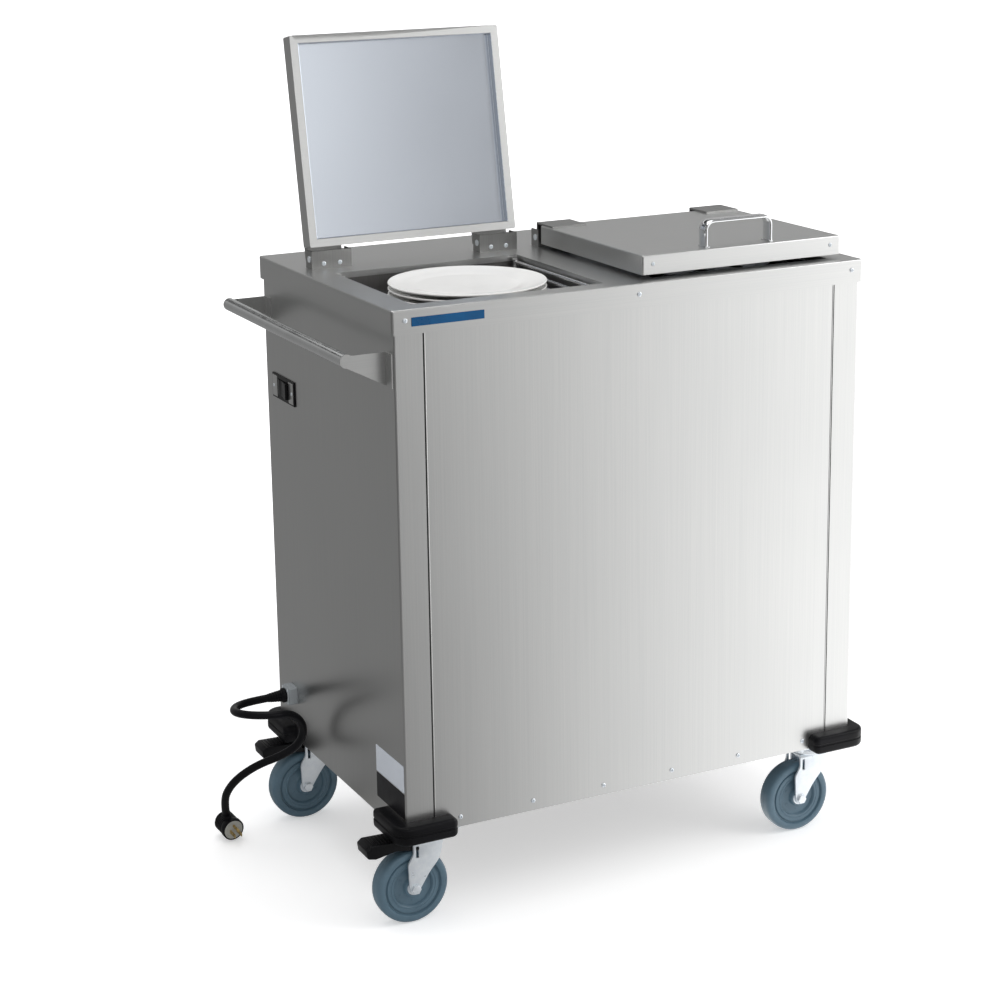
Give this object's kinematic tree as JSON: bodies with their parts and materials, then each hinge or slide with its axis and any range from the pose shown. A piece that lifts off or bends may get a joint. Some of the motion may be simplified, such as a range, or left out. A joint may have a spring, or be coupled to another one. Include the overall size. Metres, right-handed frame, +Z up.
{
  "type": "plate dispenser cart",
  "caption": "Sheet-steel cart on swivel casters with two heated wells that lift stacked plates, hinged lids, a push handle and a power cord.",
  "frame": {"origin": "on the floor, under the middle of the cart's footprint without the cord", "axes": "+X to the right of the front panel, +Y to the rear, +Z up"},
  "size_m": [1.0368, 0.603, 1.4129],
  "materials": {
    "brushed_steel": "brushed stainless sheet",
    "dark_steel": "plain sheet",
    "bright_wire": "polished wire",
    "chrome": "polished",
    "zinc": "bright zinc plate",
    "wheel_rubber": "satin",
    "black_rubber": "satin",
    "black_plastic": "gloss",
    "grey_plastic": "matte",
    "plug_plastic": "matte",
    "brass": "satin",
    "badge_blue": "enamel",
    "white_ware": "glazed"
  },
  "bodies": {
    "cabinet": {"top_deck": "brushed_steel", "left_end_panel": "brushed_steel", "right_end_panel": "brushed_steel", "front_panel": "brushed_steel", "rear_panel": "brushed_steel", "bottom_pan": "dark_steel", "cabinet_screws": "zinc", "badge_plate": "badge_blue", "push_handle_bar": "brushed_steel", "push_handle_brackets": "brushed_steel", "hinge_screws": "zinc", "heating_elements": "dark_steel", "caster_bolts": "zinc", "switch_bezel": "black_plastic", "thermostat": "grey_plastic", "cord_gland": "grey_plastic", "power_cord": "black_rubber", "plug_body": "plug_plastic", "plug_blades": "brass", "front_left_bumper": "black_rubber", "front_right_bumper": "black_rubber", "rear_left_bumper": "black_rubber", "rear_right_bumper": "black_rubber", "left_hinge_brackets": "brushed_steel", "left_hinge_pins": "zinc", "left_well_liner": "dark_steel", "left_dispenser_frame": "bright_wire", "left_lift_springs": "zinc", "right_hinge_brackets": "brushed_steel", "right_hinge_pins": "zinc", "right_well_liner": "dark_steel", "right_dispenser_frame": "bright_wire", "right_lift_springs": "zinc", "caster_top_plates": "zinc"},
    "left_lid": {"left_lid_shell": "brushed_steel", "left_lid_liner": "brushed_steel", "left_lid_handle": "chrome", "left_lid_straps": "brushed_steel"},
    "left_lift": {"left_platform": "bright_wire", "left_plate_stack": "white_ware"},
    "right_lid": {"right_lid_shell": "brushed_steel", "right_lid_liner": "brushed_steel", "right_lid_handle": "chrome", "right_lid_straps": "brushed_steel"},
    "right_lift": {"right_platform": "bright_wire"},
    "rocker": {"rocker_switch": "black_plastic"},
    "front_left_fork": {"front_left_caster_fork": "zinc", "front_left_caster_axle": "zinc"},
    "front_left_wheel": {"front_left_caster_wheel": "wheel_rubber"},
    "front_left_pedal": {"front_left_brake_pedal": "black_plastic"},
    "front_right_fork": {"front_right_caster_fork": "zinc", "front_right_caster_axle": "zinc"},
    "front_right_wheel": {"front_right_caster_wheel": "wheel_rubber"},
    "rear_left_fork": {"rear_left_caster_fork": "zinc", "rear_left_caster_axle": "zinc"},
    "rear_left_wheel": {"rear_left_caster_wheel": "wheel_rubber"},
    "rear_left_pedal": {"rear_left_brake_pedal": "black_plastic"},
    "rear_right_fork": {"rear_right_caster_fork": "zinc", "rear_right_caster_axle": "zinc"},
    "rear_right_wheel": {"rear_right_caster_wheel": "wheel_rubber"}
  },
  "joints": [
    {"name": "left_lid_hinge", "type": "hinge", "parent": "cabinet", "child": "left_lid", "pos_m": [-0.1865, 0.1165, 1.046], "axis": [1, 0, 0], "range_deg": [0, 100]},
    {"name": "right_lid_hinge", "type": "hinge", "parent": "cabinet", "child": "right_lid", "pos_m": [0.2395, 0.1165, 1.046], "axis": [-1, 0, 0], "range_deg": [0, 100]},
    {"name": "left_lift_slide", "type": "slide", "parent": "cabinet", "child": "left_lift", "axis": [0, 0, 1], "range_m": [-0.3, 0], "stiffness_N_per_m": 700, "springref_m": 0.3, "deforming": ["left_lift_springs"]},
    {"name": "right_lift_slide", "type": "slide", "parent": "cabinet", "child": "right_lift", "axis": [0, 0, 1], "range_m": [-0.47, 0], "stiffness_N_per_m": 700, "springref_m": 0.06, "deforming": ["right_lift_springs"]},
    {"name": "rocker_pivot", "type": "hinge", "parent": "cabinet", "child": "rocker", "pos_m": [-0.3965, 0.1935, 0.81], "axis": [0, 0, 1], "range_deg": [0, 12]},
    {"name": "front_left_swivel", "type": "hinge", "parent": "cabinet", "child": "front_left_fork", "pos_m": [-0.349, -0.2345, 0.145], "axis": [0, 0, 1], "continuous": true},
    {"name": "front_left_wheel_spin", "type": "hinge", "parent": "front_left_fork", "child": "front_left_wheel", "pos_m": [-0.38, -0.2345, 0.0635], "axis": [0, 1, 0], "continuous": true},
    {"name": "front_left_pedal_pivot", "type": "hinge", "parent": "front_left_fork", "child": "front_left_pedal", "pos_m": [-0.375, -0.2345, 0.1338], "axis": [0, -1, 0], "range_deg": [0, 15]},
    {"name": "front_right_swivel", "type": "hinge", "parent": "cabinet", "child": "front_right_fork", "pos_m": [0.402, -0.2345, 0.145], "axis": [0, 0, 1], "continuous": true},
    {"name": "front_right_wheel_spin", "type": "hinge", "parent": "front_right_fork", "child": "front_right_wheel", "pos_m": [0.371, -0.2345, 0.0635], "axis": [0, 1, 0], "continuous": true},
    {"name": "rear_left_swivel", "type": "hinge", "parent": "cabinet", "child": "rear_left_fork", "pos_m": [-0.349, 0.2345, 0.145], "axis": [0, 0, 1], "continuous": true},
    {"name": "rear_left_wheel_spin", "type": "hinge", "parent": "rear_left_fork", "child": "rear_left_wheel", "pos_m": [-0.38, 0.2345, 0.0635], "axis": [0, 1, 0], "continuous": true},
    {"name": "rear_left_pedal_pivot", "type": "hinge", "parent": "rear_left_fork", "child": "rear_left_pedal", "pos_m": [-0.375, 0.2345, 0.1338], "axis": [0, -1, 0], "range_deg": [0, 15]},
    {"name": "rear_right_swivel", "type": "hinge", "parent": "cabinet", "child": "rear_right_fork", "pos_m": [0.402, 0.2345, 0.145], "axis": [0, 0, 1], "continuous": true},
    {"name": "rear_right_wheel_spin", "type": "hinge", "parent": "rear_right_fork", "child": "rear_right_wheel", "pos_m": [0.371, 0.2345, 0.0635], "axis": [0, 1, 0], "continuous": true}
  ]
}
